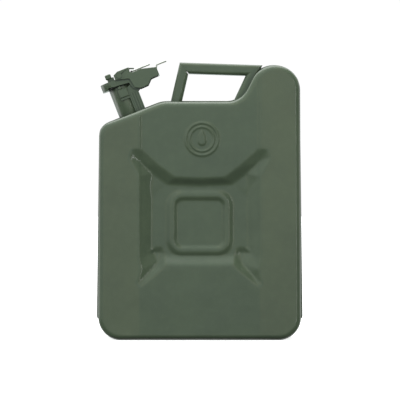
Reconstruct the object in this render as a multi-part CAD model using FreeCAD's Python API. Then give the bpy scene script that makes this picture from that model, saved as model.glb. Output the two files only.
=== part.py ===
import FreeCAD, Part
import math
import os

# A 10 litre pressed-steel fuel can with one handle and a cam-lever closure, in millimetres.
# +Z is up, -Y is the front face, +X points to the air pocket. The origin is the middle of the base.

V = FreeCAD.Vector

# ---- body ------------------------------------------------------------------------------------
BODY_HEIGHT = 367.8          # base to the top of the air pocket
BODY_DEPTH = 135.0           # front face to rear face
HALF_WIDTH_LOW = 135.8       # half the width at the base
SIDE_LEAN = 1.6              # each side leans in by this much from base to top
HALF_WIDTH_HIGH = HALF_WIDTH_LOW - SIDE_LEAN
SHEET = 1.0                  # steel sheet
POCKET_RISE = 48.8           # the air pocket stands this much above the deck
DECK_HEIGHT = BODY_HEIGHT - POCKET_RISE
BASE_CORNER_R = 31.0
POCKET_R = 33.5              # crown of the air pocket
FLANK_ANGLE = 63.4           # slope of the air pocket's flank
FLANK_FOOT_R = 30.6          # where the flank runs into the deck
KNEE_X = -50.3               # where the deck bends down to the shoulder
KNEE_R = 40.0
SHOULDER_ANGLE = 21.4        # slope of the shoulder, and the neck's tilt
SHOULDER_CORNER_R = 20.0
FACE_EDGE_R = 7.0            # rounding between a face and the side wall

# ---- welded seam round the middle ------------------------------------------------------------
SEAM_GROOVE_HALF = 4.0       # half the width of the groove that the seam lies in
SEAM_GROOVE_DEPTH = 2.5
FLANGE_LOW = 4.2             # how far the flange stands out of the side wall near the base
FLANGE_HIGH = 1.2            # and near the top of the sides
FLANGE_TOP = 3.0             # and above the shoulder, the deck and the pocket
FLANGE_END_Z = 24.0          # the side flanges end above the base corners
FLANGE_BASE_RECESS = 0.8     # under the base the flange stays above the ground

# ---- pressing of the faces: half of the outline, measured from its centre ---------------------
PRESS_CENTRE_Z = 0.4258 * BODY_HEIGHT
PRESS_DEPTH = 7.0
PRESS_RIM = [(-33.0, 60.0), (-80.4, 101.0), (-80.4, 62.0), (-80.4, -52.0), (-80.4, -86.0), (-38.0, -57.0)]
PRESS_FLOOR = [(-45.0, 51.0), (-71.0, 75.0), (-65.0, 45.0), (-64.0, -42.0), (-70.0, -66.0), (-46.0, -44.0)]
BEAD_OUTER_HALF = 42.5       # square bead round the centre of the pressing
BEAD_INNER_HALF = 30.0
BEAD_CORNER_R = 14.0
BEAD_HEIGHT = 2.5
BEAD_FLANK = 4.0             # width of each sloping side of the bead

# ---- round mark with a drop, embossed in both faces ------------------------------------------
MARK_X = 3.0
MARK_Z = DECK_HEIGHT - 50.0
MARK_HEIGHT = 0.8
MARK_RINGS = [(23.0, 20.6), (16.5, 14.6)]
DROP_R = 4.6
DROP_TIP = 11.0              # tip above the drop's centre

# ---- handle: folded tube, 26 mm across the can -----------------------------------------------
HANDLE_THICK = 14.8
HANDLE_ACROSS = 26.0
HANDLE_EDGE_R = 4.5
HANDLE_SHEET = 1.5
GRIP_HEIGHT = BODY_HEIGHT - 1.5    # centre line of the grip at its front corner
GRIP_FALL = 1.9              # the grip falls towards the air pocket, in degrees
POST_X = -21.2               # centre line of the post at its top corner
POST_LEAN = 13.0             # from upright, towards the grip
LEG_X = HALF_WIDTH_HIGH - POCKET_R - 27.1    # centre line of the rear leg at its top corner
LEG_LEAN = 25.2
MITRE_SLOT = 1.2             # open slot in the post's mitred corner
MITRE_SLOT_LENGTH = 4.5

# ---- neck: sizes along its own axis (s) and across it (r), from its foot on the shoulder -------
NECK_FROM_KNEE = 43.07       # foot of the neck, along the shoulder
NECK_SHIFT = -1.7            # tube's centre line, from the foot
NECK_R = 17.0
NECK_BORE_R = NECK_R - 2.0   # mouth
THROAT_R = NECK_R - 1.0      # below the mouth
MOUTH_S = 42.0
MOUTH_LENGTH = 20.0          # straight part of the mouth
NECK_INSIDE = 6.0            # how far the neck reaches into the body
BRACKET_INNER_Y = NECK_R - 1.4
BRACKET_SHEET = 2.0
BRACKET_LEFT = 5.0
BRACKET_RIGHT = NECK_SHIFT + NECK_R + 3.4
BRACKET_SHOULDER_S = MOUTH_S - 6.0
RIB_HEIGHT = 0.9
RIB_WIDTH = 1.8
SPINE_SHEET = 1.8
SPINE_TOP_S = MOUTH_S - 14.5

LUG_LEFT = -7.5
LUG_RIGHT = 5.0
LUG_LOW_S = MOUTH_S - 16.0
LUG_HIGH_S = MOUTH_S - 4.7
LUG_OUT_Y = NECK_R + 3.0
LUG_STEP_S = MOUTH_S - 19.5  # lower end of the lug's foot
LUG_STEP_Y = NECK_R + 1.4
STUD_R = 2.3
STUD_AT = (-3.6, MOUTH_S - 2.4)
STUD_OUT_Y = NECK_R + 2.6

# ---- lid -------------------------------------------------------------------------------------
HINGE_AT = (BRACKET_RIGHT + 0.5, MOUTH_S - 6.2)
HINGE_PIN_R = 2.0
PIN_CLEARANCE = 0.06         # radial, of a turning pin
PIN_HEAD_R = 3.4
PIN_HEAD = 1.0
SIDE_GAP = 0.5               # between parts that pass each other
SEAL_GAP = 0.2
GASKET = 2.0
GASKET_LIP = 1.0             # thinner inner part, held by the retainer
GASKET_LIP_R = NECK_R - 4.4
GASKET_INNER_R = 9.0
RETAINER_GAP = 0.1
CAP_R = NECK_R + 1.0
CAP_THICK = 6.0
CAP_RIM = 0.8
CAP_RIM_DROP = 1.4
FRAME_SHEET = 2.0
FRAME_RIGHT = 13.5
NOSE_RIGHT = NECK_SHIFT - NECK_R + 0.3
NOSE_LEFT = NOSE_RIGHT - 8.6
NOSE_CORNER_R = 14.0         # rounding of the nose, seen from above
NOSE_DROP = 10.5             # how far the nose hangs below the top plate's upper side
CAP_GAP = 0.3
SKIRT_DROP_LEFT = 7.6        # how far the skirts hang below the top plate's upper side
SKIRT_DROP_RIGHT = 10.4
EAR_R = 5.0
KNOB_AT = NOSE_RIGHT + 5.4
KNOB_WIDTH = 8.2
KNOB_HALF_Y = 4.6
KNOB_HEIGHT = 10.9
KNOB_STEM = 4.2              # height of the stem under the knob
KNOB_STEP = 1.5              # the stem stands back from the knob's outer face and sides
KNOB_TOE = 2.6               # and reaches past its inner face
RIVET_R = 2.0
RIVET_HEAD_R = 4.0
RIVET_HEAD = 1.0

# ---- cam lever: outlines are measured from its pin, along r and s -------------------------------
LEVER_PIN_AT = (NECK_SHIFT + 3.5, MOUTH_S + 13.2)
LEVER_PIN_R = 2.0
YOKE_R = 3.8
YOKE_SHEET = 3.0
YOKE_INNER_Y = 13.0
CHEEK_SHEET = 2.0
CHEEK = [(-7.0, -3.2), (-7.0, 3.0), (-0.5, 6.1), (15.9, 6.1), (15.0, 1.8), (15.6, -0.5), (17.3, -2.1),
         (21.2, -2.0), (30.7, -1.8), (51.2, -7.2), (51.2, -18.3), (41.2, -18.6), (38.7, -19.0),
         (32.0, -25.6), (21.2, -26.0), (14.2, -22.2), (11.8, -9.2), (8.9, -7.8), (-5.8, -3.8)]
FRONT_WEB = (-0.5, 15.9)     # the short web over the lid, from r to r
FRONT_WEB_S = 6.1            # its upper side
LIP_END = (22.5, 3.4)        # tip of the bent lip over the notch
LIP_HALF_Y = 7.0
REAR_WEB = [(18.2, -2.2), (21.2, -2.0), (30.7, -1.8), (51.2, -7.2)]
WEB_SHEET = 1.6
END_PLATE_SHEET = 2.0
END_LOW_S = -18.3

# ---- safety wire: its cross shank turns in the notches of the cheeks; also measured from the pin ----
WIRE_R = 1.3
WIRE_BEND_R = 2.6
SHANK_AT = (17.4, -0.2)
WIRE_ARM_Y = -16.0           # the short arm over the lever
WIRE_ARM_END = 44.2
WIRE_GAP = 0.4               # between the long arm and the rear cheek
WIRE_SIDE = [(22.8, -6.6), (48.8, -9.6), (52.8, -2.3), (66.8, -2.3)]

# ---- breather pipe inside ----------------------------------------------------------------------
BREATHER_R = 3.0
BREATHER_WALL = 0.8
BREATHER_BEND_R = 14.0
BREATHER_TOP_S = 16.0
BREATHER_WALL_GAP = 0.3
BREATHER_DROP_S = -24.0      # where it turns under the deck
BREATHER_UNDER_DECK = 19.0
BREATHER_POCKET_BELOW = 18.0  # end of the pipe below the pocket's crown
CLIP_WALL = 0.9
CLIP_LENGTH = 5.0

FRONT = -BODY_DEPTH / 2
FAR = 400.0                  # half-size of the blocks that cut away one side

os.makedirs("parts", exist_ok=True)


def save(name, shape):
    shape.exportStep("parts/" + name + ".step")


# ---- drawing helpers ---------------------------------------------------------------------------

def rounded_path(corners, closed):
    """Corners are (point, radius); straight runs are joined by tangent arcs."""
    count = len(corners)
    arcs = []
    for index, (here, radius) in enumerate(corners):
        if not closed and index in (0, count - 1):
            arcs.append((here, None, here))
            continue
        incoming = (here - corners[index - 1][0]).normalize()
        outgoing = (corners[(index + 1) % count][0] - here).normalize()
        turn = incoming.getAngle(outgoing)
        if radius < 1e-6 or turn < 1e-4:
            arcs.append((here, None, here))
            continue
        reach = radius * math.tan(turn / 2)
        inward = (outgoing - incoming).normalize()
        middle = here + inward * (radius / math.cos(turn / 2) - radius)
        arcs.append((here - incoming * reach, middle, here + outgoing * reach))
    edges = []
    for index, (start, middle, end) in enumerate(arcs):
        if middle is not None:
            edges.append(Part.Arc(start, middle, end).toShape())
        if not closed and index == count - 1:
            break
        following = arcs[(index + 1) % count][0]
        if (following - end).Length > 1e-5:
            edges.append(Part.LineSegment(end, following).toShape())
    return Part.Wire(edges)


def rounded_wire(corners, y=0.0):
    """A closed outline in the XZ plane from corners (x, z, radius)."""
    return rounded_path([(V(x, y, z), radius) for x, z, radius in corners], True)


def plate(corners, y_low, y_high):
    """A flat plate in the XZ plane; corners are (x, z) or (x, z, radius)."""
    full = [(c[0], c[1], c[2] if len(c) > 2 else 0.0) for c in corners]
    return Part.Face(rounded_wire(full, y_low)).extrude(V(0, y_high - y_low, 0))


def pin(at, radius, y_low, y_high):
    return Part.makeCylinder(radius, y_high - y_low, V(at[0], y_low, at[1]), V(0, 1, 0))


def disc(radius, s_low, s_high):
    """A disc on the neck's centre line."""
    return Part.makeCylinder(radius, s_high - s_low, V(NECK_SHIFT, 0, s_low))


def block(x_low, x_high, y_low, y_high, z_low, z_high):
    return Part.makeBox(x_high - x_low, y_high - y_low, z_high - z_low, V(x_low, y_low, z_low))


def both_sides(shape):
    return Part.Compound([shape, shape.mirror(V(0, 0, 0), V(0, 1, 0))])


def joined(shapes):
    whole = shapes[0]
    for shape in shapes[1:]:
        whole = whole.fuse(shape)
    return whole.removeSplitter()


def tilted(shape, degrees, at):
    """Turns a shape about the Y axis, so that its +Z leans by so many degrees to +X, and moves it."""
    turned = shape.copy()
    turned.rotate(V(0, 0, 0), V(0, 1, 0), degrees)
    turned.translate(V(at[0], 0, at[1]))
    return turned


def rounded_bar(width, across, edge_r, length):
    """A bar along +Z with a rounded rectangular section, centred on its axis."""
    bar = Part.makeBox(width, across, length, V(-width / 2, -across / 2, 0))
    long_edges = [e for e in bar.Edges if abs(e.tangentAt(e.FirstParameter).z) > 0.99]
    return bar.makeFillet(edge_r, long_edges)


# ---- body outline --------------------------------------------------------------------------------

def half_width(z, low, high):
    """Half the width at height z; the sides lean in a little towards the top."""
    share = z / BODY_HEIGHT
    return HALF_WIDTH_LOW + low + (HALF_WIDTH_HIGH + high - HALF_WIDTH_LOW - low) * share


def body_corners(base, low, high, top):
    """The can's outline grown outwards at its base, low on its sides, high on them and at the top."""
    slope = math.radians(SHOULDER_ANGLE)
    flank = math.radians(FLANK_ANGLE)
    crown_z = BODY_HEIGHT + top
    crown_r = POCKET_R + top
    deck_z = DECK_HEIGHT + top
    right_x = half_width(crown_z, low, high)
    lean = math.atan2(HALF_WIDTH_LOW + low - HALF_WIDTH_HIGH - high, BODY_HEIGHT)
    pocket_x = right_x - crown_r * math.tan((math.pi / 2 - lean) / 2)
    crown_left_x = pocket_x - crown_r * math.tan(flank / 2)
    foot_x = crown_left_x - (crown_z - deck_z) / math.tan(flank)
    knee_x = KNEE_X - top * math.tan(slope / 2)
    corner_z = deck_z
    for _ in range(6):
        corner_z = deck_z - (knee_x + half_width(corner_z, low, high)) * math.tan(slope)
    base_z = -base
    base_r = BASE_CORNER_R + base
    return [(-half_width(base_z, low, high), base_z, base_r),
            (half_width(base_z, low, high), base_z, base_r),
            (right_x, crown_z, crown_r),
            (crown_left_x, crown_z, crown_r),
            (foot_x, deck_z, FLANK_FOOT_R - top),
            (knee_x, deck_z, KNEE_R + top),
            (-half_width(corner_z, low, high), corner_z, SHOULDER_CORNER_R + top)]


def body_slab(grow, y_low, y_high):
    wire = rounded_wire(body_corners(grow, grow, grow, grow), y_low)
    return Part.Face(wire).extrude(V(0, y_high - y_low, 0))


def pan(grow, face_y, edge_r):
    """The front half of the body as a solid block with rounded edges, up to the seam's groove."""
    slab = body_slab(grow, face_y, -SEAM_GROOVE_HALF + grow)
    rim = [e for e in slab.Edges if all(abs(v.Point.y - face_y) < 1e-6 for v in e.Vertexes)]
    waist = body_slab(grow - SEAM_GROOVE_DEPTH, face_y + 2 * edge_r, 0.0)
    return slab.makeFillet(edge_r, rim).fuse(waist)


# ---- pressing ------------------------------------------------------------------------------------

def press_wire(half_outline, y):
    left = [V(x, y, PRESS_CENTRE_Z + z) for x, z in half_outline]
    right = [V(-point.x, y, point.z) for point in reversed(left)]
    points = left + right
    return Part.makePolygon(points + [points[0]])


def press_tool(face_y):
    rim = press_wire(PRESS_RIM, face_y)
    floor = press_wire(PRESS_FLOOR, face_y + PRESS_DEPTH)
    mouth = Part.Face(rim).extrude(V(0, -2 * SHEET, 0))
    return Part.makeLoft([rim, floor], True, True).fuse(mouth)


def square_wire(half, corner_r, y):
    z = PRESS_CENTRE_Z
    return rounded_wire([(-half, z - half, corner_r), (half, z - half, corner_r),
                         (half, z + half, corner_r), (-half, z + half, corner_r)], y)


def bead(face_y):
    floor_y = face_y + PRESS_DEPTH
    top_y = floor_y - BEAD_HEIGHT
    hole_r = BEAD_CORNER_R - 5.0
    outside = Part.makeLoft([square_wire(BEAD_OUTER_HALF, BEAD_CORNER_R, floor_y),
                             square_wire(BEAD_OUTER_HALF - BEAD_FLANK, BEAD_CORNER_R - 2.0, top_y)], True, True)
    inside = Part.makeLoft([square_wire(BEAD_INNER_HALF, hole_r, floor_y),
                            square_wire(BEAD_INNER_HALF + BEAD_FLANK, hole_r + 2.0, top_y)], True, True)
    return outside.cut(inside)


def pressed(solid, face_y):
    return solid.cut(press_tool(face_y)).fuse(bead(face_y))


def round_mark():
    rings = []
    for outer, inner in MARK_RINGS:
        at = V(MARK_X, FRONT - MARK_HEIGHT, MARK_Z)
        ring = Part.makeCylinder(outer, 2 * MARK_HEIGHT, at, V(0, 1, 0))
        rings.append(ring.cut(Part.makeCylinder(inner, 2 * MARK_HEIGHT, at, V(0, 1, 0))))
    centre_z = MARK_Z - 2.0
    touch = math.acos(DROP_R / DROP_TIP)
    side = V(DROP_R * math.sin(touch), 0, DROP_R * math.cos(touch))
    base = V(MARK_X, FRONT - MARK_HEIGHT, centre_z)
    right = base + side
    left = base + V(-side.x, 0, side.z)
    tip = base + V(0, 0, DROP_TIP)
    edges = [Part.Arc(left, base + V(0, 0, -DROP_R), right).toShape(),
             Part.LineSegment(right, tip).toShape(), Part.LineSegment(tip, left).toShape()]
    drop = Part.Face(Part.Wire(edges)).extrude(V(0, 2 * MARK_HEIGHT, 0))
    return rings + [drop]


# ---- seam flange ---------------------------------------------------------------------------------

def flange_sheet(y_low, y_high):
    """The flange of one half: a flat rim round the groove, cut back at the base corners."""
    reach = V(0, y_high - y_low, 0)
    wide = Part.Face(rounded_wire(body_corners(-FLANGE_BASE_RECESS, FLANGE_LOW, FLANGE_HIGH, FLANGE_TOP), y_low))
    slim = Part.Face(rounded_wire(body_corners(*[-FLANGE_BASE_RECESS] * 4), y_low))
    above = block(-FAR, FAR, -FAR, FAR, FLANGE_END_Z, 2 * FAR)
    below = block(-FAR, FAR, -FAR, FAR, -FAR, FLANGE_END_Z)
    chamfer = FLANGE_LOW + FLANGE_BASE_RECESS
    edge_x = HALF_WIDTH_LOW - FLANGE_BASE_RECESS
    corner = plate([(edge_x, FLANGE_END_Z), (edge_x + 2 * chamfer, FLANGE_END_Z),
                    (edge_x + 2 * chamfer, FLANGE_END_Z + 2 * chamfer)], y_low, y_high)
    upper = wide.extrude(reach).common(above)
    upper = upper.cut(corner).cut(corner.mirror(V(0, 0, 0), V(1, 0, 0)))
    whole = upper.fuse(slim.extrude(reach).common(below))
    return whole.cut(body_slab(-SEAM_GROOVE_DEPTH - SHEET, y_low, y_high))


# ---- neck frame ----------------------------------------------------------------------------------

def neck_point(r, s):
    """World X and Z of a place given across and along the neck."""
    slope = math.radians(SHOULDER_ANGLE)
    foot_x = KNEE_X - NECK_FROM_KNEE * math.cos(slope)
    foot_z = DECK_HEIGHT - NECK_FROM_KNEE * math.sin(slope)
    return (foot_x + r * math.cos(slope) - s * math.sin(slope),
            foot_z + r * math.sin(slope) + s * math.cos(slope))


def on_neck(shape):
    """Moves a shape drawn with X across and Z along the neck to its place on the can."""
    return tilted(shape, -SHOULDER_ANGLE, neck_point(0, 0))


# ---- the two halves of the body --------------------------------------------------------------------

def half_shell(marks):
    """The front half: outer form less inner form, with its flange and the embossed marks."""
    outside = pressed(pan(0.0, FRONT, FACE_EDGE_R), FRONT)
    inside = pressed(pan(-SHEET, FRONT + SHEET, FACE_EDGE_R - SHEET), FRONT + SHEET)
    shell = outside.cut(inside).fuse(flange_sheet(-SHEET, 0.0))
    for mark in marks:
        shell = shell.fuse(mark.cut(inside))
    hole = on_neck(disc(NECK_R, -3 * NECK_INSIDE, 2 * NECK_INSIDE))
    return shell.cut(hole).removeSplitter()


envelope = joined([pan(0.0, FRONT, FACE_EDGE_R), flange_sheet(-SHEET, 0.0),
                   body_slab(-SEAM_GROOVE_DEPTH, -SEAM_GROOVE_HALF, 0.0)])
envelope = envelope.fuse(envelope.mirror(V(0, 0, 0), V(0, 1, 0)))

save("front_shell", half_shell(round_mark()))
save("rear_shell", half_shell(round_mark()).mirror(V(0, 0, 0), V(0, 1, 0)))


# ---- handle --------------------------------------------------------------------------------------

def handle_tube(corner, degrees, before, after):
    """A tube through a corner, leaning by so many degrees from upright, open at both ends."""
    length = before + after
    inner = HANDLE_THICK - 2 * HANDLE_SHEET
    across = HANDLE_ACROSS - 2 * HANDLE_SHEET
    tube = rounded_bar(HANDLE_THICK, HANDLE_ACROSS, HANDLE_EDGE_R, length)
    tube = tube.cut(rounded_bar(inner, across, HANDLE_EDGE_R - HANDLE_SHEET, length))
    tube.translate(V(0, 0, -before))
    return tilted(tube, degrees, corner)


def beyond(corner, degrees):
    """The half of space ahead of a plane through a corner; its normal leans so far from upright."""
    return tilted(block(-FAR, FAR, -FAR, FAR, 0, FAR), degrees, corner)


grip_lean = 90.0 + GRIP_FALL
post_corner = (POST_X, GRIP_HEIGHT)
leg_corner = (LEG_X, GRIP_HEIGHT - (LEG_X - POST_X) * math.tan(math.radians(GRIP_FALL)))
post_mitre = (POST_LEAN + grip_lean) / 2
leg_mitre = (grip_lean + 180.0 + LEG_LEAN) / 2
grip_length = math.hypot(LEG_X - POST_X, leg_corner[1] - GRIP_HEIGHT)
handle_rise = BODY_HEIGHT - DECK_HEIGHT

# The slot is open along the inner end of the front mitre.
inner_corner_reach = HANDLE_THICK / 2 / math.sin(math.radians(90.0 - (grip_lean - POST_LEAN) / 2))
slot = block(inner_corner_reach - MITRE_SLOT_LENGTH, inner_corner_reach + 1.0, -FAR, FAR,
             -MITRE_SLOT / 2, MITRE_SLOT / 2)
slot = tilted(slot, post_mitre, post_corner)

post = handle_tube(post_corner, POST_LEAN, 2 * handle_rise, HANDLE_THICK)
post = post.cut(beyond(post_corner, post_mitre)).cut(envelope).cut(slot)
grip = handle_tube(post_corner, grip_lean, HANDLE_THICK, grip_length + 2 * HANDLE_THICK)
grip = grip.common(beyond(post_corner, post_mitre)).cut(beyond(leg_corner, leg_mitre))
grip = grip.cut(envelope).cut(slot)
leg = handle_tube(leg_corner, 180.0 + LEG_LEAN, HANDLE_THICK, 2 * handle_rise)
leg = leg.common(beyond(leg_corner, leg_mitre)).cut(envelope)


def largest(shape):
    """The main solid of a cut piece, without crumbs."""
    return max(shape.Solids, key=lambda solid: solid.Volume)


save("handle_post", largest(post))
save("handle_grip", largest(grip))
save("handle_rear_leg", largest(leg))


# ---- neck ----------------------------------------------------------------------------------------

throat_top_s = MOUTH_S - MOUTH_LENGTH
neck_tube = disc(NECK_R, -NECK_INSIDE, MOUTH_S)
neck_tube = neck_tube.cut(disc(NECK_BORE_R, -NECK_INSIDE, MOUTH_S))
neck_tube = neck_tube.cut(disc(THROAT_R, -NECK_INSIDE, throat_top_s))
save("neck_tube", on_neck(neck_tube))

bracket_outer_y = BRACKET_INNER_Y + BRACKET_SHEET
bracket_top_s = HINGE_AT[1] + EAR_R
bracket = plate([(BRACKET_LEFT, -5.0), (BRACKET_LEFT, BRACKET_SHOULDER_S, 2.0),
                 (HINGE_AT[0] - EAR_R, bracket_top_s, 2.0),
                 (HINGE_AT[0] + EAR_R, bracket_top_s, EAR_R - 0.1),
                 (HINGE_AT[0] + EAR_R, HINGE_AT[1] - EAR_R, EAR_R - 0.2),
                 (BRACKET_RIGHT, HINGE_AT[1] - EAR_R - 3.0), (BRACKET_RIGHT, -5.0)],
                -bracket_outer_y, -BRACKET_INNER_Y)
rib_step = (BRACKET_RIGHT - BRACKET_LEFT) / 4
ribs = [block(BRACKET_LEFT + rib_step * n - RIB_WIDTH / 2, BRACKET_LEFT + rib_step * n + RIB_WIDTH / 2,
              -bracket_outer_y - RIB_HEIGHT, -BRACKET_INNER_Y, -5.0, SPINE_TOP_S) for n in (1, 2, 3)]
bracket = joined([bracket] + ribs).cut(disc(NECK_R, -10.0, MOUTH_S))
bracket = bracket.cut(pin(HINGE_AT, HINGE_PIN_R, -FAR, FAR))
bracket = on_neck(bracket).cut(envelope)
save("neck_bracket_front", bracket)
save("neck_bracket_rear", bracket.mirror(V(0, 0, 0), V(0, 1, 0)))

spine = block(BRACKET_RIGHT - SPINE_SHEET, BRACKET_RIGHT, -BRACKET_INNER_Y, BRACKET_INNER_Y, -5.0, SPINE_TOP_S)
save("neck_spine", on_neck(spine).cut(envelope))

lug = block(LUG_LEFT, LUG_RIGHT, -LUG_OUT_Y, -NECK_R / 2, LUG_LOW_S, LUG_HIGH_S)
lug_rim = [e for e in lug.Edges if all(abs(v.Point.y + LUG_OUT_Y) < 1e-6 for v in e.Vertexes)]
lug = lug.makeFillet(1.0, lug_rim)
lug_foot = block(LUG_LEFT, LUG_RIGHT, -LUG_STEP_Y, -NECK_R / 2, LUG_STEP_S, LUG_LOW_S + 2.0)
lug = joined([lug, lug_foot]).cut(disc(NECK_R, 0.0, MOUTH_S)).cut(
    plate([(BRACKET_LEFT, 0.0), (FAR, 0.0), (FAR, FAR), (BRACKET_LEFT, FAR)], -bracket_outer_y, 0.0))
save("neck_lugs", on_neck(both_sides(lug)))

stud = pin(STUD_AT, STUD_R, -STUD_OUT_Y, -NECK_R / 2)
stud_rim = [e for e in stud.Edges if all(abs(v.Point.y + STUD_OUT_Y) < 1e-6 for v in e.Vertexes)]
stud = stud.makeFillet(0.7, stud_rim).cut(disc(NECK_R, 0.0, MOUTH_S + STUD_R))
save("locking_studs", on_neck(both_sides(stud)))


# ---- lid -----------------------------------------------------------------------------------------

skirt_inner_y = bracket_outer_y + SIDE_GAP
skirt_outer_y = skirt_inner_y + FRAME_SHEET
gasket_s = MOUTH_S + SEAL_GAP
cap_s = gasket_s + GASKET
cap_top_s = cap_s + CAP_THICK
frame_top_s = cap_top_s + FRAME_SHEET

save("hinge_pin", on_neck(pin(HINGE_AT, HINGE_PIN_R, -skirt_outer_y, skirt_outer_y)))

cap = disc(CAP_R, cap_s - CAP_RIM_DROP, cap_top_s).cut(disc(CAP_R - CAP_RIM, cap_s - CAP_RIM_DROP, cap_s))
cap = cap.cut(disc(RIVET_R, cap_s, cap_top_s))
save("lid_cap", on_neck(cap))

gasket = disc(CAP_R - CAP_RIM - 0.1, gasket_s, cap_s).cut(disc(GASKET_LIP_R, gasket_s, cap_s - GASKET_LIP))
gasket = gasket.cut(disc(GASKET_INNER_R, gasket_s, cap_s))
save("lid_gasket", on_neck(gasket))

retainer = disc(GASKET_LIP_R - RETAINER_GAP, gasket_s + RETAINER_GAP, cap_s - GASKET_LIP)
retainer = retainer.fuse(disc(GASKET_INNER_R - RETAINER_GAP, cap_s - GASKET_LIP, cap_s)).removeSplitter()
rivet_head_s = gasket_s + RETAINER_GAP
retainer = retainer.cut(disc(RIVET_R, rivet_head_s, cap_s))
retainer = retainer.cut(disc(RIVET_HEAD_R, rivet_head_s, rivet_head_s + RIVET_HEAD))
save("gasket_retainer", on_neck(retainer))

rivet = joined([disc(RIVET_HEAD_R, rivet_head_s, rivet_head_s + RIVET_HEAD),
                disc(RIVET_R, rivet_head_s, frame_top_s),
                disc(RIVET_HEAD_R, frame_top_s, frame_top_s + RIVET_HEAD)])
save("lid_rivet", on_neck(rivet))

top_plate = plate([(NOSE_LEFT, cap_top_s), (NOSE_LEFT, frame_top_s, 1.5), (FRAME_RIGHT, frame_top_s, 1.5),
                   (FRAME_RIGHT, cap_top_s)], -skirt_outer_y, skirt_outer_y)
nose = block(NOSE_LEFT, NOSE_RIGHT, -skirt_outer_y, skirt_outer_y, frame_top_s - NOSE_DROP, cap_top_s)
nose = nose.cut(disc(CAP_R + CAP_GAP, 0.0, cap_top_s))
nose_edge = block(NOSE_LEFT, NOSE_LEFT + NOSE_CORNER_R, -skirt_outer_y, skirt_outer_y, 0.0, FAR)
nose_edges = [e for e in nose_edge.Edges if all(v.Point.x < NOSE_LEFT + 0.1 for v in e.Vertexes)
              and abs(e.tangentAt(e.FirstParameter).z) > 0.9]
outside_nose = nose_edge.cut(nose_edge.makeFillet(NOSE_CORNER_R - 0.1, nose_edges))
skirt = plate([(NOSE_RIGHT, frame_top_s - SKIRT_DROP_LEFT), (NOSE_RIGHT, cap_top_s),
               (FRAME_RIGHT, cap_top_s, 3.0), (HINGE_AT[0] + EAR_R, HINGE_AT[1] + 2 * EAR_R, 4.0),
               (HINGE_AT[0] + EAR_R, HINGE_AT[1] - EAR_R, EAR_R - 0.1),
               (HINGE_AT[0] - EAR_R, HINGE_AT[1] - EAR_R, EAR_R - 0.1),
               (HINGE_AT[0] - EAR_R - 3.5, frame_top_s - SKIRT_DROP_RIGHT)],
              -skirt_outer_y, -skirt_inner_y)
skirt = skirt.cut(pin(HINGE_AT, HINGE_PIN_R + PIN_CLEARANCE, -FAR, FAR))
frame = joined([top_plate, nose] + both_sides(skirt).Solids).cut(outside_nose)
frame = frame.cut(disc(RIVET_R, cap_top_s, frame_top_s))
save("lid_frame", on_neck(frame))

knob_stem = block(KNOB_AT - KNOB_WIDTH / 2 + KNOB_STEP, KNOB_AT + KNOB_WIDTH / 2 + KNOB_TOE,
                  -KNOB_HALF_Y + KNOB_STEP, KNOB_HALF_Y - KNOB_STEP, frame_top_s, frame_top_s + KNOB_STEM + 1.0)
knob_head = block(KNOB_AT - KNOB_WIDTH / 2, KNOB_AT + KNOB_WIDTH / 2, -KNOB_HALF_Y, KNOB_HALF_Y,
                  frame_top_s + KNOB_STEM, frame_top_s + KNOB_HEIGHT)
knob_head = knob_head.makeFillet(1.5, knob_head.Edges)
save("lid_knob", on_neck(joined([knob_stem, knob_head])))

yoke_ear = plate([(LEVER_PIN_AT[0] - YOKE_R, frame_top_s),
                  (LEVER_PIN_AT[0] - YOKE_R, LEVER_PIN_AT[1] + YOKE_R, YOKE_R - 0.05),
                  (LEVER_PIN_AT[0] + YOKE_R, LEVER_PIN_AT[1] + YOKE_R, YOKE_R - 0.05),
                  (LEVER_PIN_AT[0] + YOKE_R, frame_top_s)], -YOKE_INNER_Y - YOKE_SHEET, -YOKE_INNER_Y)
yoke_ear = yoke_ear.cut(pin(LEVER_PIN_AT, LEVER_PIN_R, -FAR, FAR))
save("lever_yoke", on_neck(both_sides(yoke_ear)))


# ---- cam lever -------------------------------------------------------------------------------------

cheek_inner_y = skirt_outer_y + SIDE_GAP
cheek_outer_y = cheek_inner_y + CHEEK_SHEET
pin_half_y = cheek_outer_y + SIDE_GAP / 2
pin_head = pin(LEVER_PIN_AT, PIN_HEAD_R, -pin_half_y - PIN_HEAD, -pin_half_y)
lever_pin = pin(LEVER_PIN_AT, LEVER_PIN_R, -pin_half_y, pin_half_y)
save("lever_pin", on_neck(joined([lever_pin] + both_sides(pin_head).Solids)))


def from_pin(points):
    """Places on the neck of points measured from the lever's pin."""
    return [(LEVER_PIN_AT[0] + r, LEVER_PIN_AT[1] + s) for r, s in points]


cheek = plate(from_pin(CHEEK), -cheek_outer_y, -cheek_inner_y)
cheek = on_neck(cheek.cut(pin(LEVER_PIN_AT, LEVER_PIN_R + PIN_CLEARANCE, -FAR, FAR)))
save("lever_cheek_front", cheek)
save("lever_cheek_rear", cheek.mirror(V(0, 0, 0), V(0, 1, 0)))

web_low_s = FRONT_WEB_S - WEB_SHEET
front_web = plate(from_pin([(FRONT_WEB[0], web_low_s), (FRONT_WEB[0], FRONT_WEB_S),
                            (FRONT_WEB[1], FRONT_WEB_S), (FRONT_WEB[1], web_low_s)]),
                  -cheek_inner_y, cheek_inner_y)
lip = plate(from_pin([(FRONT_WEB[1], web_low_s), (FRONT_WEB[1], FRONT_WEB_S), LIP_END,
                      (LIP_END[0] - 0.6, LIP_END[1] - WEB_SHEET)]), -LIP_HALF_Y, LIP_HALF_Y)
save("lever_front_web", on_neck(joined([front_web, lip])))

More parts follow.
